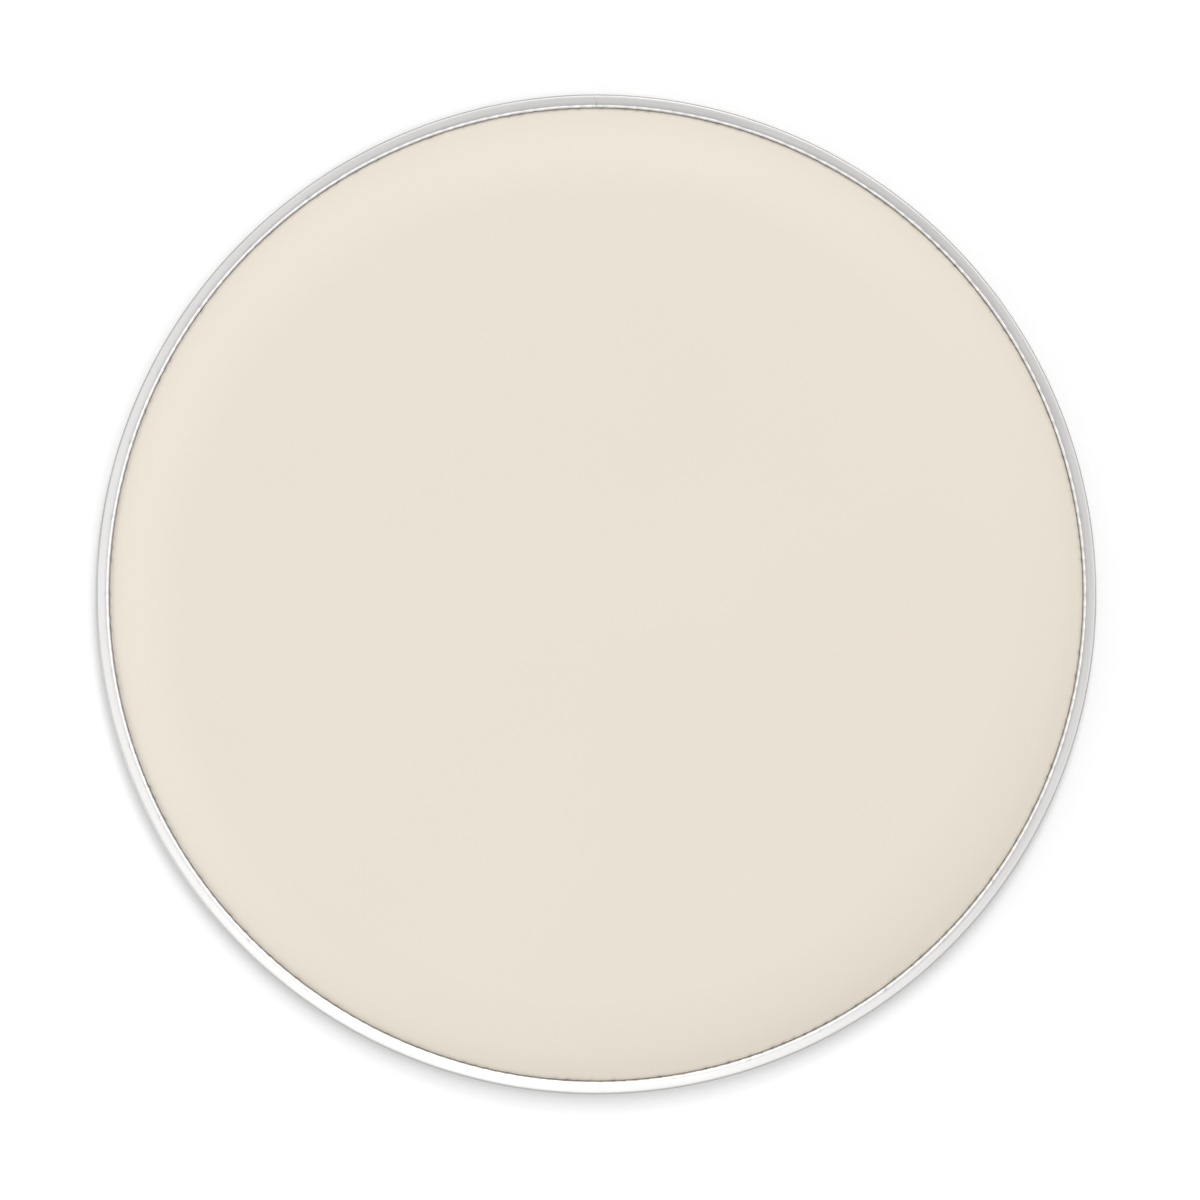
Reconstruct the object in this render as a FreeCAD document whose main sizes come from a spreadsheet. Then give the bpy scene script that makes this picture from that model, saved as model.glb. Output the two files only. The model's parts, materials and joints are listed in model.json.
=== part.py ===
import FreeCAD, Part
import Sketcher

import math
import os
from collections import namedtuple

# A crimped drum head lying on its hoop, film upwards.
# Origin: centre of the hoop's lower face. +Z is the drum's axis, +Y points at the hoop's butt joint.

# Driving sizes: millimetres, degrees and a count
SIZES = [
    ("shell_diameter", 355.6, "outside of the drum shell that the head fits"),
    ("shell_clearance", 1.0, "radial gap between the shell and the hoop"),
    ("strip_thickness", 1.0, "metal strip that the hoop is folded from"),
    ("base_bend", 0.6, "inside radius of the two folds at the channel's floor"),
    ("top_bend", 0.2, "inside radius of the fold into the top flange"),
    ("hoop_height", 9.5, "hoop from its lower face to the counterhoop's seat"),
    ("inner_wall_height", 7.0, "inner wall of the channel, from the lower face"),
    ("seat_width", 0.8, "flat land on top of the hoop, under the counterhoop"),
    ("crimp_angle", 12.0, "slope of the crimped flange down towards the film"),
    ("jaw_count", 40, "crimping jaws that close the flange, with a crease between each two"),
    ("crease_width", 0.6, "crease along the hoop"),
    ("crease_depth", 0.2, "crease into the flange"),
    ("crease_length", 1.2, "crease outwards from the middle of the flange's nose"),
    ("film_thickness", 0.3, "plastic film"),
    ("film_clearance", 0.1, "gap between the film and the metal on each side"),
    ("collar_angle", 30.0, "slope of the film's collar"),
    ("collar_length", 6.0, "straight stretch of the collar, along the slope"),
    ("shoulder_radius", 50.0, "bend from the collar into the playing face"),
    ("wire_diameter", 1.7, "locking wire that the hem is folded round"),
    ("wire_clearance", 0.2, "gap between the wire and the hem"),
    ("hem_return", 2.0, "hem turned up past the middle of the wire"),
    ("bed_depth", 0.65, "room for adhesive under the folded hem"),
    ("bead_rise", 1.6, "adhesive level above the middle of the wire"),
    ("bead_wall", 0.55, "room for adhesive between the hem and the joint sleeve"),
    ("bond_gap", 0.05, "gap left between the adhesive and what it beds"),
    ("sleeve_thickness", 0.8, "strip that bridges the butt joint"),
    ("sleeve_length", 30.0, "joint sleeve along the hoop"),
    ("sleeve_clearance", 0.05, "gap between the sleeve and the channel's wall"),
    ("joint_gap", 0.3, "gap between the hoop's two ends"),
]
FULL_TURN = 360

doc = FreeCAD.newDocument("DrumHead")
sheet = doc.addObject("Spreadsheet::Sheet", "Sizes")
for row, (alias, number, meaning) in enumerate(SIZES, start=1):
    sheet.set(f"A{row}", meaning)
    sheet.set(f"B{row}", str(number))
    sheet.setAlias(f"B{row}", alias)
doc.recompute()


class Formula:
    """An expression on the size sheet that can be added to, scaled and read as a number."""

    def __init__(self, text):
        self.text = str(text)

    def __add__(self, other):
        return Formula(f"({self.text} + {other})")

    def __sub__(self, other):
        return Formula(f"({self.text} - {other})")

    def __mul__(self, other):
        return Formula(f"({self.text} * {other})")

    def __truediv__(self, other):
        return Formula(f"({self.text} / {other})")

    def __str__(self):
        return self.text

    def number(self):
        return float(sheet.evalExpression(self.text))


def size(name):
    return Formula(f"Sizes.{name}")


def sine(angle):
    return Formula(f"sin({angle})")


def cosine(angle):
    return Formula(f"cos({angle})")


def tangent(angle):
    return Formula(f"tan({angle})")


def arc_angle(length, radius):
    """The angle in degrees that a length spans along a circle."""
    return length / radius * (180 / math.pi)


ZERO = Formula(0)

# Radii through the channel, from the shell outwards
strip = size("strip_thickness")
film = size("film_thickness")
bond = size("bond_gap")
bore_radius = size("shell_diameter") / 2 + size("shell_clearance")
inner_wall_outside = bore_radius + strip
hem_inside = inner_wall_outside + size("film_clearance")
hem_outside = hem_inside + film
nose_reach = hem_outside + size("film_clearance")
hook_inside = size("wire_diameter") / 2 + size("wire_clearance")
hook_outside = hook_inside + film
wire_ring_radius = hem_outside + hook_inside
return_outside = wire_ring_radius + hook_outside
sleeve_inside = return_outside + size("bead_wall")
sleeve_outside = sleeve_inside + size("sleeve_thickness")
outer_wall_inside = sleeve_outside + size("sleeve_clearance")
rim_radius = outer_wall_inside + strip

# Heights and bends of the hoop
base_bend_outside = size("base_bend") + strip
top_bend_outside = size("top_bend") + strip
wall_round = strip / 2
wall_round_height = size("inner_wall_height") - wall_round
wall_round_radius = bore_radius + wall_round
top_bend_height = size("hoop_height") - top_bend_outside
seat_outer = rim_radius - top_bend_outside
seat_inner = seat_outer - size("seat_width")
wire_height = strip + size("bed_depth") + hook_outside

# The flange's rounded nose
crimp = size("crimp_angle")
nose_round = strip / 2
nose_radius = nose_reach + nose_round
nose_top_radius = nose_radius - nose_round * sine(crimp)
nose_top_height = size("hoop_height") - (seat_inner - nose_top_radius) * tangent(crimp)
nose_height = nose_top_height - nose_round * cosine(crimp)

Corner = namedtuple("Corner", "across up radius turn", defaults=(None, None))


def draw_edge(start, end, radius, turn):
    """A straight edge, or the arc of under half a turn that bends left or right from start to end."""
    if radius is None:
        return Part.LineSegment(start, end)
    chord = end - start
    reach = math.sqrt(radius ** 2 - chord.Length ** 2 / 4)
    leftward = FreeCAD.Vector(-chord.y, chord.x, 0).normalize()
    side = 1 if turn == "left" else -1
    centre = (start + end) / 2 + leftward * (reach * side)
    circle = Part.Circle(centre, FreeCAD.Vector(0, 0, 1), radius)
    first, last = (start, end) if turn == "left" else (end, start)
    return Part.ArcOfCircle(circle, circle.parameter(first), circle.parameter(last))


def sketch_outline(body, name, plane_role, corners):
    """A closed outline in one of the body's own planes, with every corner tied to the size sheet.

    A corner's radius and turn belong to the edge that leads on from it: with none the edge is straight.
    """
    sketch = body.newObject("Sketcher::SketchObject", name)
    plane = next(item for item in body.Origin.OriginFeatures if item.Role == plane_role)
    sketch.AttachmentSupport = [(plane, "")]
    sketch.MapMode = "FlatFace"

    points = [FreeCAD.Vector(corner.across.number(), corner.up.number(), 0) for corner in corners]
    ends = []
    for index, corner in enumerate(corners):
        radius = corner.radius.number() if corner.radius else None
        following = points[(index + 1) % len(points)]
        sketch.addGeometry(draw_edge(points[index], following, radius, corner.turn))
        ends.append((2, 1) if corner.turn == "right" else (1, 2))

    def tie(kind, edge, place, expression):
        constraint = sketch.addConstraint(Sketcher.Constraint(kind, edge, *place, expression.number()))
        sketch.setExpression(f"Constraints[{constraint}]", expression.text)

    horizontal_axis, vertical_axis = -1, -2
    for index, corner in enumerate(corners):
        start = ends[index][0]
        before = (index - 1) % len(corners)
        sketch.addConstraint(Sketcher.Constraint("Coincident", before, ends[before][1], index, start))
        if corner.across is ZERO:
            sketch.addConstraint(Sketcher.Constraint("PointOnObject", index, start, vertical_axis))
        else:
            tie("DistanceX", index, (start,), corner.across)
        if corner.up is ZERO:
            sketch.addConstraint(Sketcher.Constraint("PointOnObject", index, start, horizontal_axis))
        else:
            tie("DistanceY", index, (start,), corner.up)
        if corner.radius:
            tie("Radius", index, (), corner.radius)
    return sketch


def revolve(body, kind, name, sketch, angle=None):
    """Turns an outline about Z: all the way round, or by an angle that is shared by both sides of its plane."""
    feature = body.newObject(f"PartDesign::{kind}", name)
    feature.Profile = sketch
    feature.ReferenceAxis = (sketch, ["V_Axis"])
    feature.Angle = FULL_TURN
    if angle:
        feature.Midplane = True
        feature.setExpression("Angle", angle.text)
    doc.recompute()
    return feature


def require_cut(body, volume_before):
    if body.Shape.Volume >= volume_before:
        raise RuntimeError(f"{body.Label}: {body.Tip.Name} removed nothing")


def new_body(name):
    body = doc.addObject("PartDesign::Body", name)
    body.Label = name
    body.Placement = FreeCAD.Placement()
    return body


def make_hoop_channel():
    """The folded hoop: inner wall, floor, outer wall and a flange crimped down over the film."""
    body = new_body("hoop_channel")
    base, top = size("base_bend"), size("top_bend")
    height = size("hoop_height")
    tip_radius = nose_radius - nose_round * cosine(crimp)
    tip_height = nose_height - nose_round * sine(crimp)
    outline = sketch_outline(body, "HoopSection", "YZ_Plane", [
        Corner(bore_radius, wall_round_height),
        Corner(bore_radius, base_bend_outside, base_bend_outside, "left"),
        Corner(bore_radius + base_bend_outside, ZERO),
        Corner(rim_radius - base_bend_outside, ZERO, base_bend_outside, "left"),
        Corner(rim_radius, base_bend_outside),
        Corner(rim_radius, top_bend_height, top_bend_outside, "left"),
        Corner(seat_outer, height),
        Corner(seat_inner, height),
        Corner(nose_top_radius, nose_top_height, nose_round, "left"),
        Corner(tip_radius, tip_height, nose_round, "left"),
        Corner(nose_radius + nose_round * sine(crimp), nose_height - nose_round * cosine(crimp)),
        Corner(seat_inner + strip * tangent(crimp / 2), height - strip),
        Corner(seat_outer, height - strip, top, "right"),
        Corner(outer_wall_inside, top_bend_height),
        Corner(outer_wall_inside, base_bend_outside, base, "right"),
        Corner(outer_wall_inside - base, strip),
        Corner(inner_wall_outside + base, strip, base, "right"),
        Corner(inner_wall_outside, base_bend_outside),
        Corner(inner_wall_outside, wall_round_height, wall_round, "left"),
        Corner(wall_round_radius, size("inner_wall_height"), wall_round, "left"),
    ])
    revolve(body, "Revolution", "HoopRing", outline)
    cut_butt_joint(body)
    press_creases(body)
    return body


def cut_butt_joint(body):
    """Parts the hoop's two ends at +Y, where the strip that it is folded from meets itself."""
    outline = sketch_outline(body, "JointSection", "YZ_Plane", [
        Corner(bore_radius - strip, ZERO - strip),
        Corner(rim_radius + strip, ZERO - strip),
        Corner(rim_radius + strip, size("hoop_height") + strip),
        Corner(bore_radius - strip, size("hoop_height") + strip),
    ])
    before = body.Shape.Volume
    gap = body.newObject("PartDesign::Pocket", "ButtJoint")
    gap.Profile = outline
    gap.SideType = "Symmetric"
    gap.setExpression("Length", size("joint_gap").text)
    doc.recompute()
    require_cut(body, before)


def press_creases(body):
    """Presses a crease across the flange's nose between each two crimping jaws."""
    floor = nose_round - size("crease_depth")

    def corner(above, along):
        """A point of the cut, above the middle of the nose and out along the flange."""
        return Corner(nose_radius + along * cosine(crimp) - above * sine(crimp),
                      nose_height + along * sine(crimp) + above * cosine(crimp))

    outline = sketch_outline(body, "CreaseSection", "XZ_Plane", [
        corner(floor, ZERO - strip),
        corner(floor, size("crease_length")),
        corner(strip, size("crease_length")),
        corner(strip, ZERO - strip),
    ])
    before = body.Shape.Volume
    crease = body.newObject("PartDesign::Pocket", "Crease")
    crease.Profile = outline
    crease.SideType = "Symmetric"
    crease.setExpression("Length", size("crease_width").text)
    doc.recompute()
    require_cut(body, before)

    before = body.Shape.Volume
    pattern = body.newObject("PartDesign::PolarPattern", "Creases")
    pattern.Originals = [crease]
    pattern.Axis = (outline, ["V_Axis"])
    pattern.Angle = FULL_TURN
    pattern.setExpression("Occurrences", size("jaw_count").text)
    body.Tip = pattern
    doc.recompute()
    require_cut(body, before)


def make_film_membrane():
    """The film: playing face, shoulder, collar, and a hem that hooks under the locking wire."""
    body = new_body("film_membrane")
    slope = size("collar_angle")
    shoulder, collar = size("shoulder_radius"), size("collar_length")
    shoulder_under = shoulder - film
    lip_inside = wall_round + size("film_clearance")
    lip_outside = lip_inside + film
    lip_end_radius = wall_round_radius + lip_outside * sine(slope)
    lip_end_height = wall_round_height + lip_outside * cosine(slope)
    collar_top_radius = lip_end_radius - collar * cosine(slope)
    collar_top_height = lip_end_height + collar * sine(slope)
    face_radius = collar_top_radius - shoulder * sine(slope)
    face_height = collar_top_height + shoulder * (Formula(1) - cosine(slope))
    under_height = face_height - film
    return_inside = wire_ring_radius + hook_inside
    return_height = wire_height + size("hem_return")
    outline = sketch_outline(body, "FilmSection", "XZ_Plane", [
        Corner(ZERO, under_height),
        Corner(face_radius, under_height, shoulder_under, "right"),
        Corner(collar_top_radius - film * sine(slope), collar_top_height - film * cosine(slope)),
        Corner(wall_round_radius + lip_inside * sine(slope),
               wall_round_height + lip_inside * cosine(slope), lip_inside, "right"),
        Corner(hem_inside, wall_round_height),
        Corner(hem_inside, wire_height, hook_outside, "left"),
        Corner(wire_ring_radius, wire_height - hook_outside, hook_outside, "left"),
        Corner(return_outside, wire_height),
        Corner(return_outside, return_height),
        Corner(return_inside, return_height),
        Corner(return_inside, wire_height, hook_inside, "right"),
        Corner(wire_ring_radius, wire_height - hook_inside, hook_inside, "right"),
        Corner(hem_outside, wire_height),
        Corner(hem_outside, wall_round_height, lip_outside, "left"),
        Corner(lip_end_radius, lip_end_height),
        Corner(collar_top_radius, collar_top_height, shoulder, "left"),
        Corner(face_radius, face_height),
        Corner(ZERO, face_height),
    ])
    revolve(body, "Revolution", "FilmDisc", outline)
    return body


def make_locking_wire():
    """The closed wire ring inside the hem, too thick to pass between the flange and the inner wall."""
    ring = doc.addObject("Part::Torus", "locking_wire")
    ring.Label = "locking_wire"
    ring.setExpression("Radius1", wire_ring_radius.text)
    ring.setExpression("Radius2", (size("wire_diameter") / 2).text)
    ring.setExpression("Placement.Base.z", wire_height.text)
    return ring


def make_adhesive_bed():
    """The cured bead under and outside the hem, with a pocket where the joint sleeve lies."""
    body = new_body("adhesive_bed")
    floor = strip + bond
    corner_round = size("base_bend") - bond
    outside = outer_wall_inside - bond
    round_the_hem = hook_outside + bond
    slant = round_the_hem * tangent(45 / 2)
    inner_end = inner_wall_outside + size("base_bend")
    level = wire_height + size("bead_rise")
    outline = sketch_outline(body, "BeadSection", "XZ_Plane", [
        Corner(inner_end, floor),
        Corner(outside - corner_round, floor, corner_round, "left"),
        Corner(outside, floor + corner_round),
        Corner(outside, level),
        Corner(return_outside + bond, level),
        Corner(return_outside + bond, wire_height - slant),
        Corner(wire_ring_radius + slant, wire_height - round_the_hem),
        Corner(inner_end, wire_height - round_the_hem),
    ])
    revolve(body, "Revolution", "BeadRing", outline)

    pocket = sketch_outline(body, "SleevePocketSection", "YZ_Plane", [
        Corner(sleeve_inside - bond, base_bend_outside),
        Corner(rim_radius, base_bend_outside),
        Corner(rim_radius, size("hoop_height")),
        Corner(sleeve_inside - bond, size("hoop_height")),
    ])
    before = body.Shape.Volume
    revolve(body, "Groove", "SleevePocket", pocket, arc_angle(size("sleeve_length") + bond * 2, sleeve_outside))
    require_cut(body, before)
    return body


def make_joint_sleeve():
    """The curved strip inside the outer wall that holds the hoop's two ends in line."""
    body = new_body("joint_sleeve")
    lower = base_bend_outside + size("sleeve_clearance")
    upper = top_bend_height - size("sleeve_clearance")
    outline = sketch_outline(body, "SleeveSection", "YZ_Plane", [
        Corner(sleeve_inside, lower),
        Corner(sleeve_outside, lower),
        Corner(sleeve_outside, upper),
        Corner(sleeve_inside, upper),
    ])
    revolve(body, "Revolution", "SleeveStrip", outline, arc_angle(size("sleeve_length"), sleeve_outside))
    return body


def require_sound(sub_parts):
    """Stops before anything is written if an object failed or a sub-part isn't one valid solid."""
    for item in doc.Objects:
        if "Invalid" in item.State or "Error" in item.State:
            raise RuntimeError(f"{item.Label} failed: {item.State}")
    for sub_part in sub_parts:
        shape = sub_part.Shape
        if shape.isNull() or not shape.isValid() or len(shape.Solids) != 1:
            raise RuntimeError(f"{sub_part.Label} is not one valid solid")


sub_parts = [
    make_hoop_channel(),
    make_film_membrane(),
    make_locking_wire(),
    make_adhesive_bed(),
    make_joint_sleeve(),
]
doc.recompute()
require_sound(sub_parts)
os.makedirs("parts", exist_ok=True)
for sub_part in sub_parts:
    sub_part.Shape.exportStep(f"parts/{sub_part.Label}.step")
    box = sub_part.Shape.optimalBoundingBox(False, False)
    print(f"{sub_part.Label}: {sub_part.Shape.Volume:.1f} mm3, z {box.ZMin:.2f} to {box.ZMax:.2f}, "
          f"radius {box.XMax:.2f}")
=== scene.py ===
"""Looks of the drum head: a cream film, locked by its hem in a crimped satin hoop, on a white table."""
import json
import logging
import math
import random
from abc import ABC, abstractmethod
from dataclasses import dataclass
from enum import Enum

import bmesh
import bpy
from mathutils import Matrix, Vector


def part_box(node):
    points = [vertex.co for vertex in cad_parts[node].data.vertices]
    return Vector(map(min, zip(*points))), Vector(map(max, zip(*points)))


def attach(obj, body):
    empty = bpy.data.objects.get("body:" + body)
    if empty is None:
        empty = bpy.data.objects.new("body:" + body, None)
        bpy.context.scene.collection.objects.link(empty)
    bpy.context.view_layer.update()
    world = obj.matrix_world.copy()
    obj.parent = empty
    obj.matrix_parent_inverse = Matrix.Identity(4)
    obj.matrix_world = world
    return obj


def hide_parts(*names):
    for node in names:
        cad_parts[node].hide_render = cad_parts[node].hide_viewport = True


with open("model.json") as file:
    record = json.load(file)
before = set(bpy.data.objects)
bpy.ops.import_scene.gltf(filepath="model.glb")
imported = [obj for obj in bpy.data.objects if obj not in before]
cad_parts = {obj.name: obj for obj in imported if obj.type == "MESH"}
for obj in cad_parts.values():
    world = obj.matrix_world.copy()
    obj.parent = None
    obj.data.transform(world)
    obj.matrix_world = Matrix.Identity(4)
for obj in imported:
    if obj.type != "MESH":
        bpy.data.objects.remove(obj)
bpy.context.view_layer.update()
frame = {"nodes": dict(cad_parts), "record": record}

log = logging.getLogger("drum_head")

Colour = tuple[float, float, float]
BODY = "root"
MM = 0.001
# Points of a mesh that are nearer to each other than this are one point
WELD_REACH = 1e-6
# The crimping tool's teeth and jaws, counted round the hoop
TOOTH_COUNT = 262
JAW_COUNT = 40
# Where a Mix node keeps its two colour inputs and its colour output
MIX_COLOURS_IN = (6, 7)
MIX_COLOUR_OUT = 2


class Slot(Enum):
    """Names of the record's material slots for the film and the hoop."""

    FILM = "film"
    HOOP = "hoop"


class Effect(Enum):
    """The shader node groups that several finishes share."""

    ROUND_BRUSHING = "round_brushing"
    SOFT_MOTTLE = "soft_mottle"


class Wiring:
    """Adds and joins the nodes of one node tree."""

    def __init__(self, tree: bpy.types.NodeTree) -> None:
        """Keeps the tree that the nodes go into."""
        self.tree = tree

    def add(self, kind: str, **settings: object) -> bpy.types.Node:
        """Adds one node.

        Args:
            kind: Blender's name of the node type.
            settings: properties of the node and their values.

        Returns:
            The new node.
        """
        node = self.tree.nodes.new(kind)
        for name, value in settings.items():
            setattr(node, name, value)
        return node

    def join(self, output: bpy.types.NodeSocket, socket: bpy.types.NodeSocket) -> None:
        """Links an output to an input."""
        self.tree.links.new(output, socket)

    def feed(self, socket: bpy.types.NodeSocket, value: object) -> None:
        """Links or sets an input.

        Args:
            socket: the input.
            value: the output to link, or the plain value to set.
        """
        if isinstance(value, bpy.types.NodeSocket):
            self.join(value, socket)
        else:
            socket.default_value = value

    def math(self, operation: str, first: object, second: object) -> bpy.types.NodeSocket:
        """Adds a Math node.

        Args:
            operation: Blender's name of the sum.
            first: a socket or a number.
            second: a socket or a number.

        Returns:
            The socket that holds the answer.
        """
        node = self.add("ShaderNodeMath", operation=operation)
        self.feed(node.inputs[0], first)
        self.feed(node.inputs[1], second)
        return node.outputs[0]

    def spread(self, value: bpy.types.NodeSocket, low: float, high: float) -> bpy.types.NodeSocket:
        """Maps a value from 0 to 1 onto low to high.

        Args:
            value: the socket to map.
            low: what 0 becomes.
            high: what 1 becomes.

        Returns:
            The mapped socket.
        """
        node = self.add("ShaderNodeMapRange")
        self.join(value, node.inputs["Value"])
        node.inputs["To Min"].default_value = low
        node.inputs["To Max"].default_value = high
        return node.outputs["Result"]

    def blend(self, share: bpy.types.NodeSocket, first: object, second: object) -> bpy.types.NodeSocket:
        """Mixes two colours.

        Args:
            share: how much of the second colour shows.
            first: a colour, or a socket that holds one.
            second: a colour, or a socket that holds one.

        Returns:
            The socket that holds the mixed colour.
        """
        node = self.add("ShaderNodeMix", data_type="RGBA")
        self.join(share, node.inputs["Factor"])
        for place, value in zip(MIX_COLOURS_IN, (first, second)):
            linked = isinstance(value, bpy.types.NodeSocket)
            self.feed(node.inputs[place], value if linked else (*value, 1.0))
        return node.outputs[MIX_COLOUR_OUT]

    def noise(self, place: bpy.types.NodeSocket, scale: float, detail: float) -> bpy.types.NodeSocket:
        """Adds a noise texture.

        Args:
            place: the coordinates.
            scale: cells to the unit of those coordinates.
            detail: octaves of finer noise.

        Returns:
            The noise value, about 0 to 1.
        """
        node = self.add("ShaderNodeTexNoise")
        self.join(place, node.inputs["Vector"])
        node.inputs["Scale"].default_value = scale
        node.inputs["Detail"].default_value = detail
        return node.outputs["Fac"]

    def relief(self, height: bpy.types.NodeSocket, depth: float, shader: bpy.types.Node) -> None:
        """Raises a surface on a shader's normal.

        Args:
            height: the relief, from 0 to 1.
            depth: what a relief of 1 stands for, in metres.
            shader: the shader that takes the normal.
        """
        bump = self.add("ShaderNodeBump")
        bump.inputs["Distance"].default_value = depth
        self.join(height, bump.inputs["Height"])
        self.join(bump.outputs["Normal"], shader.inputs["Normal"])


class EffectShop:
    """Builds each shared node group once."""

    def get(self, effect: Effect) -> bpy.types.NodeTree:
        """Finds or builds a group.

        Args:
            effect: which group.

        Returns:
            The node group.
        """
        made = bpy.data.node_groups.get(effect.value)
        if made is not None:
            return made
        builders = {Effect.ROUND_BRUSHING: self.round_brushing, Effect.SOFT_MOTTLE: self.soft_mottle}
        return builders[effect]()

    def start(
        self, effect: Effect, numbers: dict[str, float], outputs: list[str]
    ) -> tuple[bpy.types.NodeTree, Wiring, bpy.types.Node, bpy.types.Node]:
        """Begins a group with a Place input, some number inputs and some value outputs.

        Args:
            effect: which group.
            numbers: names of the number inputs and their usual values.
            outputs: names of the value outputs.

        Returns:
            The tree, its wiring, its input node and its output node.
        """
        tree = bpy.data.node_groups.new(effect.value, "ShaderNodeTree")
        tree.interface.new_socket("Place", in_out="INPUT", socket_type="NodeSocketVector")
        for name, value in numbers.items():
            socket = tree.interface.new_socket(name, in_out="INPUT", socket_type="NodeSocketFloat")
            socket.default_value = value
        for name in outputs:
            tree.interface.new_socket(name, in_out="OUTPUT", socket_type="NodeSocketFloat")
        wiring = Wiring(tree)
        return tree, wiring, wiring.add("NodeGroupInput"), wiring.add("NodeGroupOutput")

    def round_brushing(self) -> bpy.types.NodeTree:
        """Builds fine streaks that run round the Z axis.

        Returns:
            The group, with a Streaks output from 0 to 1.
        """
        numbers = {"Across": 6000.0, "Along": 9.0}
        tree, wiring, source, result = self.start(Effect.ROUND_BRUSHING, numbers, ["Streaks"])
        flat = wiring.add("ShaderNodeVectorMath", operation="MULTIPLY")
        flat.inputs[1].default_value = (1.0, 1.0, 0.0)
        wiring.join(source.outputs["Place"], flat.inputs[0])
        radius = wiring.add("ShaderNodeVectorMath", operation="LENGTH")
        wiring.join(flat.outputs["Vector"], radius.inputs[0])
        heading = wiring.add("ShaderNodeVectorMath", operation="NORMALIZE")
        wiring.join(flat.outputs["Vector"], heading.inputs[0])
        turned = wiring.add("ShaderNodeVectorMath", operation="SCALE")
        wiring.join(heading.outputs["Vector"], turned.inputs[0])
        wiring.join(source.outputs["Along"], turned.inputs["Scale"])
        turned_parts = wiring.add("ShaderNodeSeparateXYZ")
        wiring.join(turned.outputs["Vector"], turned_parts.inputs[0])
        place_parts = wiring.add("ShaderNodeSeparateXYZ")
        wiring.join(source.outputs["Place"], place_parts.inputs[0])
        run = wiring.math("ADD", radius.outputs["Value"], place_parts.outputs["Z"])
        across = wiring.math("MULTIPLY", run, source.outputs["Across"])
        lane = wiring.add("ShaderNodeCombineXYZ")
        wiring.join(turned_parts.outputs["X"], lane.inputs["X"])
        wiring.join(turned_parts.outputs["Y"], lane.inputs["Y"])
        wiring.join(across, lane.inputs["Z"])
        streaks = wiring.noise(lane.outputs["Vector"], scale=1.0, detail=3.0)
        wiring.join(streaks, result.inputs["Streaks"])
        return tree

    def soft_mottle(self) -> bpy.types.NodeTree:
        """Builds broad patches and fine grain.

        Returns:
            The group, with Patches and Grain outputs from 0 to 1.
        """
        numbers = {"Patch Scale": 20.0, "Grain Scale": 2500.0}
        tree, wiring, source, result = self.start(Effect.SOFT_MOTTLE, numbers, ["Patches", "Grain"])
        for output, scale, detail in (("Patches", "Patch Scale", 2.0), ("Grain", "Grain Scale", 3.0)):
            sized = wiring.add("ShaderNodeVectorMath", operation="SCALE")
            wiring.join(source.outputs["Place"], sized.inputs[0])
            wiring.join(source.outputs[scale], sized.inputs["Scale"])
            cells = wiring.noise(sized.outputs["Vector"], scale=1.0, detail=detail)
            wiring.join(cells, result.inputs[output])
        return tree


EFFECTS = EffectShop()


@dataclass(frozen=True)
class Finish(ABC):
    """What every finish has: a name, a light and a deep colour, and a range of roughness."""

    name: str
    light: Colour
    deep: Colour
    smooth: float
    rough: float

    def start(self) -> tuple[bpy.types.Material, Wiring, bpy.types.Node]:
        """Begins a material.

        Returns:
            The material, its wiring and its Principled shader.
        """
        material = bpy.data.materials.new(self.name)
        material.use_nodes = True
        shader = material.node_tree.nodes["Principled BSDF"]
        return material, Wiring(material.node_tree), shader

    @abstractmethod
    def material(self) -> bpy.types.Material:
        """Builds the material."""

    def effect(self, wiring: Wiring, effect: Effect, **numbers: float) -> bpy.types.Node:
        """Places a shared effect on Object coordinates.

        Args:
            wiring: the material's wiring.
            effect: which effect.
            numbers: values for the effect's inputs, with _ for a space.

        Returns:
            The group node.
        """
        node = wiring.add("ShaderNodeGroup", node_tree=EFFECTS.get(effect))
        place = wiring.add("ShaderNodeTexCoord")
        wiring.join(place.outputs["Object"], node.inputs["Place"])
        for name, value in numbers.items():
            node.inputs[name.replace("_", " ")].default_value = value
        return node


@dataclass(frozen=True)
class CoatedFilm(Finish):
    """Cream polyester with a soft sheen, with painted light that makes its collar paler and painted shade
    in its tucks and next to the hoop.
    """

    # Colour of the painted light on the collar, a paler cream that offsets the collar's shade
    collar_painted_light: Colour = (0.808, 0.747, 0.651)
    # Colour of the painted shade in the tucks and next to the hoop's lip
    tuck_with_painted_shade: Colour = (0.46, 0.43, 0.39)
    gloss: float = 0.2
    grain_depth: float = 0.02 * MM

    def material(self) -> bpy.types.Material:
        """Builds the film's material, which reads its mesh's attributes of painted collar light and
        painted tuck shade.

        Returns:
            The material.
        """
        material, wiring, shader = self.start()
        shader.inputs["Specular IOR Level"].default_value = self.gloss
        mottle = self.effect(wiring, Effect.SOFT_MOTTLE, Patch_Scale=14.0, Grain_Scale=900.0)
        cream = wiring.blend(mottle.outputs["Patches"], self.light, self.deep)
        collar_painted_light = wiring.add("ShaderNodeAttribute", attribute_name="collar_painted_light")
        tuck_with_painted_shade = wiring.add("ShaderNodeAttribute", attribute_name="tuck_with_painted_shade")
        # Painted light that makes the collar paler
        collar_lightened = wiring.blend(collar_painted_light.outputs["Fac"], cream, self.collar_painted_light)
        # Painted shade in the tucks and next to the hoop
        tuck_shaded = wiring.blend(tuck_with_painted_shade.outputs["Fac"], collar_lightened, self.tuck_with_painted_shade)
        wiring.join(tuck_shaded, shader.inputs["Base Color"])
        roughness = wiring.spread(mottle.outputs["Grain"], self.smooth, self.rough)
        wiring.join(roughness, shader.inputs["Roughness"])
        wiring.relief(mottle.outputs["Grain"], self.grain_depth, shader)
        return material


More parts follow.
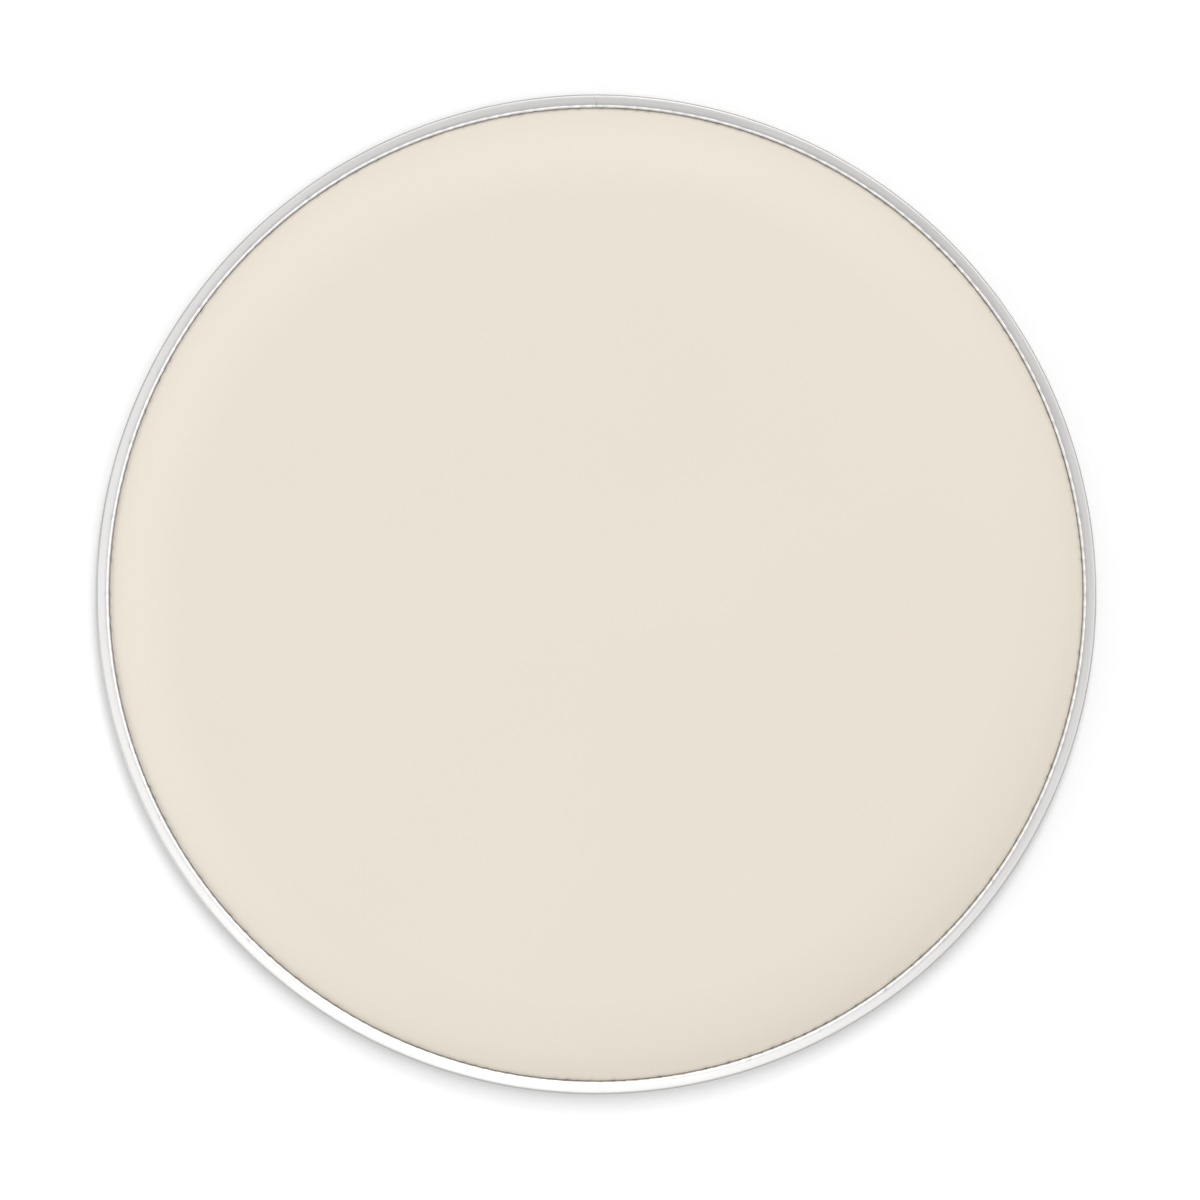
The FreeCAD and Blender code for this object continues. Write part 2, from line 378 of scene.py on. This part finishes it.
@dataclass(frozen=True)
class BrushedMetal(Finish):
    """Metal with streaks round the drum's axis."""

    across: float = 6000.0
    along: float = 9.0
    streak_depth: float = 0.02 * MM

    def colour(self, wiring: Wiring, streaks: bpy.types.NodeSocket) -> bpy.types.NodeSocket:
        """Varies the metal's colour with its streaks."""
        return wiring.blend(streaks, self.deep, self.light)

    def material(self) -> bpy.types.Material:
        """Builds the metal's material.

        Returns:
            The material.
        """
        material, wiring, shader = self.start()
        shader.inputs["Metallic"].default_value = 1.0
        brushing = self.effect(wiring, Effect.ROUND_BRUSHING, Across=self.across, Along=self.along)
        streaks = brushing.outputs["Streaks"]
        wiring.join(self.colour(wiring, streaks), shader.inputs["Base Color"])
        wiring.join(wiring.spread(streaks, self.smooth, self.rough), shader.inputs["Roughness"])
        wiring.relief(streaks, self.streak_depth, shader)
        return material


@dataclass(frozen=True)
class CrimpedMetal(BrushedMetal):
    """Brushed metal with painted shade in its groove and a painted highlight along its lip, both stronger
    at each tooth mark where the crimping tool pressed.
    """

    # Colour of the painted shade in the groove
    painted_shade_colour: Colour = (0.27, 0.27, 0.28)
    # Colour of the painted highlight on the lip
    painted_highlight_colour: Colour = (0.88, 0.885, 0.89)

    def colour(self, wiring: Wiring, streaks: bpy.types.NodeSocket) -> bpy.types.NodeSocket:
        """Adds the painted shade in the groove and the painted highlight on the lip, from the mesh's
        attributes, to the streaks.

        Args:
            wiring: the material's wiring.
            streaks: the brushing, from 0 to 1.

        Returns:
            The socket that holds the colour.
        """
        painted_groove_shade = wiring.add("ShaderNodeAttribute", attribute_name="painted_groove_shade")
        painted_lip_highlight = wiring.add("ShaderNodeAttribute", attribute_name="painted_lip_highlight")
        brushed = super().colour(wiring, streaks)
        # Painted shade in the groove
        groove_shaded = wiring.blend(painted_groove_shade.outputs["Fac"], brushed, self.painted_shade_colour)
        # Painted highlight on the lip
        return wiring.blend(painted_lip_highlight.outputs["Fac"], groove_shaded, self.painted_highlight_colour)


@dataclass(frozen=True)
class CuredBead(Finish):
    """Amber adhesive with small lumps."""

    lump_depth: float = 0.2 * MM

    def material(self) -> bpy.types.Material:
        """Builds the bead's material.

        Returns:
            The material.
        """
        material, wiring, shader = self.start()
        mottle = self.effect(wiring, Effect.SOFT_MOTTLE, Patch_Scale=160.0, Grain_Scale=1800.0)
        amber = wiring.blend(mottle.outputs["Patches"], self.light, self.deep)
        wiring.join(amber, shader.inputs["Base Color"])
        roughness = wiring.spread(mottle.outputs["Grain"], self.smooth, self.rough)
        wiring.join(roughness, shader.inputs["Roughness"])
        wiring.relief(mottle.outputs["Patches"], self.lump_depth, shader)
        return material


FILM_FINISH = CoatedFilm(
    "cream_film",
    light=(0.792, 0.731, 0.635),
    deep=(0.772, 0.709, 0.613),
    smooth=0.40,
    rough=0.52,
)
HOOP_FINISH = CrimpedMetal(
    "satin_hoop",
    light=(0.533, 0.527, 0.518),
    deep=(0.394, 0.389, 0.382),
    smooth=0.39,
    rough=0.53,
)
WIRE_FINISH = BrushedMetal(
    "drawn_wire",
    light=(0.60, 0.60, 0.61),
    deep=(0.46, 0.46, 0.47),
    smooth=0.24,
    rough=0.38,
    across=4000.0,
)
SLEEVE_FINISH = BrushedMetal(
    "mill_strip",
    light=(0.70, 0.70, 0.71),
    deep=(0.60, 0.60, 0.61),
    smooth=0.34,
    rough=0.50,
    along=14.0,
)
BEAD_FINISH = CuredBead(
    "cured_bead",
    light=(0.62, 0.52, 0.34),
    deep=(0.52, 0.42, 0.25),
    smooth=0.45,
    rough=0.65,
)


class SectionPen:
    """Draws a section in the XZ plane, X outwards and Z up, one run or bend at a time."""

    def __init__(self, mesh: bmesh.types.BMesh, radius: float, height: float) -> None:
        """Starts at a point.

        Args:
            mesh: the mesh to draw in.
            radius: distance of the first point from the axis.
            height: height of the first point.
        """
        self.mesh = mesh
        self.tip = mesh.verts.new((radius, 0.0, height))

    def line_to(self, radius: float, height: float, steps: int = 1) -> None:
        """Draws a straight run to a point.

        Args:
            radius: the point's distance from the axis.
            height: the point's height.
            steps: equal steps in the run.
        """
        stride = (Vector((radius, 0.0, height)) - self.tip.co) / steps
        for _ in range(steps):
            made = bmesh.ops.extrude_vert_indiv(self.mesh, verts=[self.tip])
            self.tip = made["verts"][0]
            self.tip.co += stride

    def bend(self, radius: float, height: float, degrees: float, steps: int) -> None:
        """Turns round a centre; a positive angle goes from outwards to up.

        Args:
            radius: the centre's distance from the axis.
            height: the centre's height.
            degrees: how far to turn.
            steps: straight steps in the bend.
        """
        made = bmesh.ops.spin(
            self.mesh,
            geom=[self.tip],
            cent=(radius, 0.0, height),
            axis=(0.0, -1.0, 0.0),
            angle=math.radians(degrees),
            steps=steps,
        )
        self.tip = next(part for part in made["geom_last"] if isinstance(part, bmesh.types.BMVert))


def turn_section(mesh: bmesh.types.BMesh, angle: float, sectors: int, steps: int) -> None:
    """Sweeps the drawn section round the Z axis: one sector first, then copies of that sector.

    Args:
        mesh: the mesh that holds the section's edges.
        angle: how far round the sweep goes, in radians.
        sectors: equal sectors in the sweep.
        steps: straight steps in each sector.
    """
    sector = angle / sectors
    turn = {"cent": (0.0, 0.0, 0.0), "axis": (0.0, 0.0, 1.0)}
    bmesh.ops.spin(mesh, geom=mesh.edges[:] + mesh.verts[:], angle=sector, steps=steps, **turn)
    whole = mesh.faces[:] + mesh.edges[:] + mesh.verts[:]
    bmesh.ops.spin(mesh, geom=whole, angle=angle - sector, steps=sectors - 1, use_duplicate=True, **turn)
    bmesh.ops.remove_doubles(mesh, verts=mesh.verts, dist=WELD_REACH)


def finish_mesh(mesh: bmesh.types.BMesh, name: str, sharp_degrees: float) -> bpy.types.Object:
    """Turns a bmesh into a smooth-shaded object at the origin.

    Args:
        mesh: the finished bmesh, which is freed.
        name: the piece's name.
        sharp_degrees: edges bent by more than this stay sharp.

    Returns:
        The new object.
    """
    data = bpy.data.meshes.new(name)
    mesh.to_mesh(data)
    mesh.free()
    data.shade_smooth()
    data.set_sharp_from_angle(angle=math.radians(sharp_degrees))
    piece = bpy.data.objects.new(name, data)
    bpy.context.scene.collection.objects.link(piece)
    return piece


def ease(value: float, start: float, end: float) -> float:
    """Gives a smooth share that goes from 0 at start to 1 at end.

    Args:
        value: the number to place.
        start: where the share is 0.
        end: where the share is 1.

    Returns:
        The share.
    """
    share = min(1.0, max(0.0, (value - start) / (end - start)))
    return share * share * (3.0 - 2.0 * share)


def find_polar(place: Vector) -> tuple[float, float]:
    """Gives where a point lies round the Z axis.

    Args:
        place: the point.

    Returns:
        Its distance from the axis, and its share of a turn from +X.
    """
    return math.hypot(place.x, place.y), math.atan2(place.y, place.x) / (2 * math.pi) % 1.0


@dataclass(frozen=True)
class HeadSizes:
    """The sizes that the hoop and the film share, in metres."""

    bore: float
    rim: float
    hoop_height: float
    strip: float = 1.0 * MM
    base_bend: float = 0.6 * MM
    top_bend: float = 0.2 * MM
    inner_wall_height: float = 7.0 * MM
    seat_width: float = 0.8 * MM
    film: float = 0.3 * MM
    film_clearance: float = 0.1 * MM
    collar_degrees: float = 30.0
    collar_length: float = 6.0 * MM
    shoulder: float = 50.0 * MM
    wire_radius: float = 0.85 * MM
    wire_clearance: float = 0.2 * MM
    hem_return: float = 2.0 * MM
    bed_depth: float = 0.65 * MM
    joint_gap: float = 0.08 * MM

    @classmethod
    def from_frame(cls) -> "HeadSizes":
        """Reads the hoop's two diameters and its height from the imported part.

        Returns:
            The sizes.
        """
        mounts = {mount["name"]: mount for mount in frame["record"]["mounts"]}
        bore = mounts["shell_bore"]["dims"]["r_mm"] * MM
        rim = mounts["hoop_outside"]["dims"]["r_mm"] * MM
        return cls(bore, rim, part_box("hoop_channel")[1].z)

    @property
    def wall_outside(self) -> float:
        """Radius of the inner wall's channel side."""
        return self.bore + self.strip

    @property
    def hem_outside(self) -> float:
        """Radius of the hem's face towards the nose."""
        return self.wall_outside + self.film_clearance + self.film

    @property
    def hook_inside(self) -> float:
        """Radius of the hem's fold next to the wire."""
        return self.wire_radius + self.wire_clearance

    @property
    def wire_ring(self) -> float:
        """Radius of the wire's own centre line."""
        return self.hem_outside + self.hook_inside

    @property
    def wire_height(self) -> float:
        """Height of the wire's centre line."""
        return self.strip + self.bed_depth + self.hook_inside + self.film


@dataclass
class Hoop:
    """The folded channel hoop, crimped over the film's hem by a toothed tool."""

    sizes: HeadSizes
    sectors: int = 12
    steps: int = 131
    tooth_reach: float = 0.10 * MM
    tooth_drop: float = 0.10 * MM
    tooth_strengths: tuple[float, float] = (0.1, 1.1)
    # Painted highlight that each tooth adds to the lip
    tooth_shine: float = 0.45
    # Painted shade that each tooth adds to the groove
    tooth_shade: float = 0.40
    lip_reach: float = 0.15 * MM
    lip_round: float = 0.7 * MM
    lip_depth: float = 1.74 * MM
    lip_sink: float = 0.03 * MM
    lip_flat: float = 0.05 * MM
    # Painted highlight along the lip's crest
    lip_shine: float = 0.40
    groove_width: float = 0.9 * MM
    groove_depth: float = 0.10 * MM
    # Painted shade along the groove
    groove_shade: float = 0.10
    groove_middle: float = 0.4
    jaw_wander: float = 0.05 * MM
    crease_depth: float = 0.16 * MM
    crease_length: float = 1.2 * MM
    crease_fade: tuple[float, float] = (0.6, 1.4)
    crease_sides: tuple[float, float] = (0.2 * MM, 0.8 * MM)
    flange_degrees: float = 8.0
    shoulder_round: float = 0.7 * MM
    seed: int = 14

    @property
    def lip_edge(self) -> float:
        """Radius of the turned-down lip's inner face."""
        return self.sizes.hem_outside + self.sizes.film_clearance - self.lip_reach

    @property
    def crest(self) -> tuple[float, float]:
        """The lip's highest line, as radius and height."""
        radius = self.lip_edge + self.lip_round
        return radius, self.flange_height(radius) - self.lip_sink

    @property
    def valley(self) -> float:
        """Radius of the groove's lowest line."""
        return self.crest[0] + self.groove_middle * self.groove_width

    @property
    def shoulder(self) -> tuple[float, float]:
        """Centre of the bend between the outer wall and the flange, as radius and height."""
        return self.sizes.rim - self.shoulder_round, self.sizes.hoop_height - self.shoulder_round

    @property
    def crown(self) -> tuple[float, float]:
        """Finds where the flange meets the shoulder's bend.

        Returns:
            Its radius and height.
        """
        bend = self.shoulder_round
        radius, height = self.shoulder
        slope = math.radians(self.flange_degrees)
        return radius - bend * math.sin(slope), height + bend * math.cos(slope)

    def flange_height(self, radius: float) -> float:
        """Gives the height of the flange's plain slope at a radius."""
        crown_radius, crown_height = self.crown
        return crown_height - (crown_radius - radius) * math.tan(math.radians(self.flange_degrees))

    @property
    def seat_inside(self) -> float:
        """Radius of the seat's inner edge, where the flange's underside starts to fall."""
        sizes = self.sizes
        return sizes.rim - sizes.strip - sizes.top_bend - sizes.seat_width

    def build(self) -> bpy.types.Object:
        """Spins the section round the axis and presses the crimp's marks into it.

        Returns:
            The hoop.
        """
        mesh = bmesh.new()
        self.draw_section(mesh)
        bmesh.ops.remove_doubles(mesh, verts=mesh.verts, dist=WELD_REACH)
        gap_angle = self.sizes.joint_gap / self.sizes.rim
        turn_section(mesh, 2 * math.pi - gap_angle, self.sectors, self.steps)
        ends = [edge for edge in mesh.edges if edge.is_boundary]
        bmesh.ops.holes_fill(mesh, edges=ends, sides=0)
        to_joint = Matrix.Rotation(math.pi / 2 + gap_angle / 2, 3, "Z")
        bmesh.ops.rotate(mesh, cent=(0.0, 0.0, 0.0), matrix=to_joint, verts=mesh.verts)
        bmesh.ops.recalc_face_normals(mesh, faces=mesh.faces)
        self.press_marks(mesh)
        piece = finish_mesh(mesh, "crimped_hoop", sharp_degrees=40.0)
        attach(piece, BODY)
        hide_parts("hoop_channel")
        return piece

    def draw_section(self, mesh: bmesh.types.BMesh) -> None:
        """Draws the folded strip's section, from the inner wall down, round and back.

        Args:
            mesh: the mesh to draw in.
        """
        sizes = self.sizes
        half = sizes.strip / 2
        outer_base = sizes.base_bend + sizes.strip
        outer_top = sizes.top_bend + sizes.strip
        wall_top = sizes.inner_wall_height - half
        top_centre = sizes.hoop_height - outer_top
        land_under = sizes.hoop_height - sizes.strip
        shoulder_radius, shoulder_height = self.shoulder
        crest_radius, crest_height = self.crest
        shelf_radius = crest_radius + self.groove_width
        end_height = crest_height - self.lip_depth + half
        pen = SectionPen(mesh, sizes.bore, wall_top)
        pen.line_to(sizes.bore, outer_base)
        pen.bend(sizes.bore + outer_base, outer_base, 90, 4)
        pen.line_to(sizes.rim - outer_base, 0.0)
        pen.bend(sizes.rim - outer_base, outer_base, 90, 4)
        pen.line_to(sizes.rim, shoulder_height, 2)
        pen.bend(shoulder_radius, shoulder_height, 90 + self.flange_degrees, 7)
        pen.line_to(shelf_radius, self.flange_height(shelf_radius), 3)
        pen.line_to(self.valley, self.flange_height(self.valley) - self.groove_depth, 2)
        pen.line_to(crest_radius, crest_height, 2)
        pen.bend(crest_radius, crest_height - self.lip_round, 90, 6)
        pen.line_to(self.lip_edge, end_height)
        pen.bend(self.lip_edge + half, end_height, 180, 8)
        pen.line_to(self.lip_edge + sizes.strip, crest_height - sizes.strip)
        pen.line_to(self.seat_inside, land_under)
        pen.line_to(sizes.rim - outer_top, land_under)
        pen.bend(sizes.rim - outer_top, top_centre, -90, 2)
        pen.line_to(sizes.rim - sizes.strip, outer_base)
        pen.bend(sizes.rim - outer_base, outer_base, -90, 2)
        pen.line_to(sizes.bore + outer_base, sizes.strip)
        pen.bend(sizes.bore + outer_base, outer_base, -90, 2)
        pen.line_to(sizes.wall_outside, wall_top)
        pen.bend(sizes.bore + half, wall_top, 180, 5)

    def press_marks(self, mesh: bmesh.types.BMesh) -> None:
        """Presses the teeth of the crimping tool into the lip, and the creases between its jaws, and marks
        painted shade in the groove and a painted highlight on the lip.

        Args:
            mesh: the spun hoop.
        """
        dice = random.Random(self.seed)
        tooth_strength = [dice.uniform(*self.tooth_strengths) for _ in range(TOOTH_COUNT)]
        jaw_height = [dice.uniform(-1.0, 1.0) for _ in range(JAW_COUNT)]
        # Painted shade in the groove
        painted_groove_shade = mesh.verts.layers.float.new("painted_groove_shade")
        # Painted highlight on the lip
        painted_lip_highlight = mesh.verts.layers.float.new("painted_lip_highlight")
        crest_radius, crest_height = self.crest
        lip_bottom = crest_height - self.lip_depth
        marks_end = self.lip_edge + 3 * self.crease_length
        fade_start, fade_end = (self.lip_edge + share * self.crease_length for share in self.crease_fade)
        for vert in mesh.verts:
            radius, turn = find_polar(vert.co)
            if vert.co.z < lip_bottom or radius > marks_end:
                continue
            tooth, within = divmod(turn * TOOTH_COUNT, 1.0)
            strength = tooth_strength[int(tooth) % TOOTH_COUNT]
            jaw, across_jaw = divmod(turn * JAW_COUNT, 1.0)
            wander = jaw_height[int(jaw) % JAW_COUNT] * math.sin(math.pi * across_jaw)
            from_crease = min(across_jaw, 1.0 - across_jaw) * 2 * math.pi * radius / JAW_COUNT
            crease = 1.0 - ease(from_crease, *self.crease_sides)
            crease *= 1.0 - ease(radius, fade_start, fade_end)
            on_lip = 1.0 - ease(radius, crest_radius + self.lip_flat, self.valley)
            in_groove = 1.0 - abs(radius - self.valley) / (self.groove_middle * self.groove_width)
            on_flange = 1.0 - ease(radius, crest_radius + self.crease_length, self.seat_inside)
            # Painted shade in the groove, darker at each tooth
            vert[painted_groove_shade] = max(0.0, in_groove) * (self.groove_shade + self.tooth_shade * within * strength)
            # Painted highlight on the lip, brighter at each tooth
            vert[painted_lip_highlight] = on_lip * (self.lip_shine + self.tooth_shine * (1.0 - within) * strength)
            outwards = Vector((vert.co.x, vert.co.y, 0.0)) / radius
            vert.co += outwards * (self.tooth_reach * within * strength * on_lip)
            vert.co.z -= self.tooth_drop * within * strength * on_lip
            vert.co.z -= self.crease_depth * crease - self.jaw_wander * wander * on_flange

    def dress(self, piece: bpy.types.Object) -> None:
        """Gives the hoop its satin finish."""
        piece.data.materials.append(HOOP_FINISH.material())


@dataclass
class Film:
    """The cream film: a flat face, a shoulder, a collar, and a hem folded round the wire."""

    sizes: HeadSizes
    sectors: int = 8
    steps: int = 131
    tuck_depth: float = 0.12 * MM
    tuck_width: float = 1.4 * MM
    tuck_floor: float = 0.25
    # Painted shade: in each pinch, near the hoop, and under the hoop's lip
    tuck_shade: float = 0.75
    collar_shade: float = 0.05
    lip_shade: float = 0.15
    lip_share: float = 0.35
    seed: int = 41

    def build(self) -> bpy.types.Object:
        """Spins the film's closed section round the axis and tucks it at the crimp.

        Returns:
            The film.
        """
        mesh = bmesh.new()
        self.draw_section(mesh)
        turn_section(mesh, 2 * math.pi, self.sectors, self.steps)
        bmesh.ops.recalc_face_normals(mesh, faces=mesh.faces)
        self.mark_collar_painted_light(mesh)
        self.tuck_with_painted_shade(mesh)
        piece = finish_mesh(mesh, "collared_film", sharp_degrees=60.0)
        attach(piece, BODY)
        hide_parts("film_membrane")
        return piece

    @property
    def wall_round(self) -> tuple[float, float]:
        """Centre of the inner wall's rounded top, as radius and height."""
        sizes = self.sizes
        return sizes.bore + sizes.strip / 2, sizes.inner_wall_height - sizes.strip / 2

    @property
    def collar_top(self) -> tuple[float, float]:
        """Finds where the straight collar meets the shoulder.

        Returns:
            The radius and height of the film's top there.
        """
        sizes = self.sizes
        fall = math.radians(sizes.collar_degrees)
        lip_radius, lip_height = self.wall_round
        lip_top = sizes.strip / 2 + sizes.film_clearance + sizes.film
        radius = lip_radius + lip_top * math.sin(fall) - sizes.collar_length * math.cos(fall)
        return radius, lip_height + lip_top * math.cos(fall) + sizes.collar_length * math.sin(fall)

    @property
    def face_radius(self) -> float:
        """Radius of the flat playing face."""
        return self.collar_top[0] - self.sizes.shoulder * math.sin(math.radians(self.sizes.collar_degrees))

    def draw_section(self, mesh: bmesh.types.BMesh) -> None:
        """Draws the film's section: out along its underside, round the wire, and back along its top.

        Args:
            mesh: the mesh to draw in.
        """
        sizes = self.sizes
        fall = math.radians(sizes.collar_degrees)
        lip_radius, lip_height = self.wall_round
        lip_under = sizes.strip / 2 + sizes.film_clearance
        collar_radius, collar_height = self.collar_top
        face_radius = self.face_radius
        centre_height = collar_height - sizes.shoulder * math.cos(fall)
        face_height = centre_height + sizes.shoulder
        hem_inside = sizes.hem_outside - sizes.film
        return_inside = sizes.wire_ring + sizes.hook_inside
        return_height = sizes.wire_height + sizes.hem_return
        pen = SectionPen(mesh, 0.0, face_height - sizes.film)
        pen.line_to(face_radius, face_height - sizes.film, 5)
        pen.bend(face_radius, centre_height, -sizes.collar_degrees, 12)
        pen.line_to(lip_radius + lip_under * math.sin(fall), lip_height + lip_under * math.cos(fall), 6)
        pen.bend(lip_radius, lip_height, sizes.collar_degrees - 90, 5)
        pen.line_to(hem_inside, sizes.wire_height)
        pen.bend(sizes.wire_ring, sizes.wire_height, 180, 6)
        pen.line_to(return_inside + sizes.film, return_height)
        pen.line_to(return_inside, return_height)
        pen.line_to(return_inside, sizes.wire_height)
        pen.bend(sizes.wire_ring, sizes.wire_height, -180, 6)
        pen.line_to(sizes.hem_outside, lip_height)
        pen.bend(lip_radius, lip_height, 90 - sizes.collar_degrees, 5)
        pen.line_to(collar_radius, collar_height, 8)
        pen.bend(face_radius, centre_height, sizes.collar_degrees, 14)
        pen.line_to(0.0, face_height, 5)

    def mark_collar_painted_light(self, mesh: bmesh.types.BMesh) -> None:
        """Marks how far the film is drawn over its shoulder, for the finish's painted light that makes the
        collar paler.

        Args:
            mesh: the spun film.
        """
        layer = mesh.verts.layers.float.new("collar_painted_light")
        collar_radius = self.collar_top[0]
        for vert in mesh.verts:
            radius, _ = find_polar(vert.co)
            vert[layer] = ease(radius, self.face_radius, collar_radius)

    def tuck_with_painted_shade(self, mesh: bmesh.types.BMesh) -> None:
        """Presses the film in a little under each tooth of the crimp and marks painted shade there, near
        the hoop and under its lip, for the finish.

        Args:
            mesh: the spun film.
        """
        dice = random.Random(self.seed)
        strength = [dice.random() ** 2 for _ in range(TOOTH_COUNT)]
        layer = mesh.verts.layers.float.new("tuck_with_painted_shade")
        lip_height = self.wall_round[1]
        edge = self.sizes.hem_outside
        floor_start = edge - self.tuck_floor * self.tuck_width
        shadow_start = edge - self.lip_share * self.tuck_width
        for vert in mesh.verts:
            radius, turn = find_polar(vert.co)
            if radius < edge - 2 * self.tuck_width or vert.co.z < lip_height:
                continue
            tooth, within = divmod(turn * TOOTH_COUNT + 0.5, 1.0)
            pinch = (0.5 - 0.5 * math.cos(2 * math.pi * within)) ** 2 * strength[int(tooth) % TOOTH_COUNT]
            near = ease(radius, edge - self.tuck_width, floor_start)
            under_lip = ease(radius, shadow_start, edge)
            # Painted shade: near the hoop, in each pinch, and under the hoop's lip
            shade = self.collar_shade * near + self.tuck_shade * pinch * near + self.lip_shade * under_lip
            vert[layer] = min(1.0, shade)
            inwards = Vector((-vert.co.x, -vert.co.y, 0.0)) / radius
            vert.co += (inwards - Vector((0.0, 0.0, 1.0))) * (self.tuck_depth * pinch * near * 0.5)

    def dress(self, piece: bpy.types.Object) -> None:
        """Gives the film its cream finish."""
        piece.data.materials.append(FILM_FINISH.material())


@dataclass
class HiddenParts:
    """The pieces inside the channel, which keep their own shapes."""

    finishes: tuple[tuple[str, Finish], ...] = (
        ("locking_wire", WIRE_FINISH),
        ("adhesive_bed", BEAD_FINISH),
        ("joint_sleeve", SLEEVE_FINISH),
    )

    def dress(self) -> None:
        """Gives each piece its finish."""
        for node, finish in self.finishes:
            materials = frame["nodes"][node].data.materials
            materials.clear()
            materials.append(finish.material())
            log.info("%s dressed in %s", node, finish.name)


@dataclass(frozen=True)
class Softbox:
    """A softbox that faces the drum head, with tilt down from straight above and bearing from +X."""

    name: str
    power: float
    width: float
    length: float
    tilt: float
    bearing: float
    distance: float

    def hang(self) -> None:
        """Hangs the softbox."""
        lamp = bpy.data.lights.new(self.name, "AREA")
        lamp.energy = self.power
        lamp.shape = "RECTANGLE"
        lamp.size = self.width
        lamp.size_y = self.length
        lean = math.radians(self.tilt)
        heading = math.radians(self.bearing)
        aside = math.sin(lean)
        towards = Vector((aside * math.cos(heading), aside * math.sin(heading), math.cos(lean)))
        light = bpy.data.objects.new(self.name, lamp)
        light.location = towards * self.distance
        light.rotation_euler = towards.to_track_quat("Z", "Y").to_euler()
        bpy.context.scene.collection.objects.link(light)


@dataclass
class Studio:
    """The white table, the soft lights and the camera."""

    floor_size: float = 16.0
    floor_colour: Colour = (0.94, 0.94, 0.94)
    floor_glow: float = 0.090
    far_glow: float = 0.30
    glow_reach: float = 4.0
    world_level: float = 0.585
    softboxes: tuple[Softbox, ...] = (
        Softbox("key_light", power=370.0, width=2.4, length=7.0, tilt=28.0, bearing=80.0, distance=10.0),
        Softbox("right_light", power=64.0, width=2.4, length=2.4, tilt=18.0, bearing=4.0, distance=8.0),
        Softbox("side_light", power=12.1, width=1.1, length=1.1, tilt=75.0, bearing=205.0, distance=2.5),
    )
    camera_distance: float = 8.0
    camera_reach: float = 100.0
    camera_tilt: float = 1.6
    camera_aim: tuple[float, float, float] = (0.00141, -0.00193, 0.008)
    view_width: float = 0.4439

    def build(self) -> None:
        """Makes everything that isn't part of the object."""
        self.lay_floor()
        self.light_world()
        for softbox in self.softboxes:
            softbox.hang()
        self.place_camera()
        bpy.context.scene.view_settings.view_transform = "Standard"

    def seen_directly(self, wiring: Wiring) -> bpy.types.NodeSocket:
        """Finds where a ray comes from the camera, a reflection or a pane.

        Args:
            wiring: the wiring of the floor's or the world's tree.

        Returns:
            A socket that is 1 for those rays and 0 for the rest.
        """
        path = wiring.add("ShaderNodeLightPath")
        glossy, through = path.outputs["Is Glossy Ray"], path.outputs["Is Transmission Ray"]
        mirrored = wiring.math("MAXIMUM", glossy, through)
        return wiring.math("MAXIMUM", path.outputs["Is Camera Ray"], mirrored)

    def lay_floor(self) -> None:
        """Makes the table's top, which keeps the object's shadow."""
        mesh = bmesh.new()
        bmesh.ops.create_grid(mesh, x_segments=1, y_segments=1, size=self.floor_size / 2)
        data = bpy.data.meshes.new("table_top")
        mesh.to_mesh(data)
        mesh.free()
        floor = bpy.data.objects.new("table_top", data)
        bpy.context.scene.collection.objects.link(floor)
        data.materials.append(self.white_table())

    def white_table(self) -> bpy.types.Material:
        """Builds the table's material: matt white, with a little glow where it is seen, and more far away.

        Returns:
            The material.
        """
        material = bpy.data.materials.new("white_table")
        material.use_nodes = True
        wiring = Wiring(material.node_tree)
        material.node_tree.nodes.clear()
        matt = wiring.add("ShaderNodeBsdfDiffuse")
        matt.inputs["Color"].default_value = (*self.floor_colour, 1.0)
        place = wiring.add("ShaderNodeTexCoord")
        distance = wiring.add("ShaderNodeVectorMath", operation="LENGTH")
        wiring.join(place.outputs["Object"], distance.inputs[0])
        share = wiring.math("DIVIDE", distance.outputs["Value"], self.glow_reach)
        level = wiring.spread(share, self.floor_glow, self.far_glow)
        glow = wiring.add("ShaderNodeEmission")
        shown = wiring.math("MULTIPLY", self.seen_directly(wiring), level)
        wiring.join(shown, glow.inputs["Strength"])
        both = wiring.add("ShaderNodeAddShader")
        wiring.join(matt.outputs["BSDF"], both.inputs[0])
        wiring.join(glow.outputs["Emission"], both.inputs[1])
        output = wiring.add("ShaderNodeOutputMaterial")
        wiring.join(both.outputs["Shader"], output.inputs["Surface"])
        return material

    def light_world(self) -> None:
        """Lights the scene evenly from all round, and shows white where it is seen directly."""
        world = bpy.data.worlds.new("studio")
        bpy.context.scene.world = world
        world.use_nodes = True
        wiring = Wiring(world.node_tree)
        background = world.node_tree.nodes["Background"]
        background.inputs["Color"].default_value = (1.0, 1.0, 1.0, 1.0)
        strength = wiring.spread(self.seen_directly(wiring), self.world_level, 1.0)
        wiring.join(strength, background.inputs["Strength"])

    def place_camera(self) -> None:
        """Puts the camera almost straight above, a little towards the hoop's joint."""
        lens = bpy.data.cameras.new("camera")
        lens.lens = lens.sensor_width * self.camera_distance / self.view_width
        lens.clip_end = self.camera_reach
        camera = bpy.data.objects.new("camera", lens)
        lean = math.radians(self.camera_tilt)
        towards = Vector((0.0, math.sin(lean), math.cos(lean)))
        camera.location = Vector(self.camera_aim) + towards * self.camera_distance
        camera.rotation_euler = (-lean, 0.0, 0.0)
        bpy.context.scene.collection.objects.link(camera)
        bpy.context.scene.camera = camera


def main() -> None:
    """Builds and dresses the drum head, then its studio."""
    logging.basicConfig(level=logging.INFO, format="%(message)s")
    sizes = HeadSizes.from_frame()
    for maker in (Hoop(sizes), Film(sizes)):
        piece = maker.build()
        maker.dress(piece)
        log.info("%s built with %d faces", piece.name, len(piece.data.polygons))
    HiddenParts().dress()
    Studio().build()


if __name__ == "__main__":
    main()
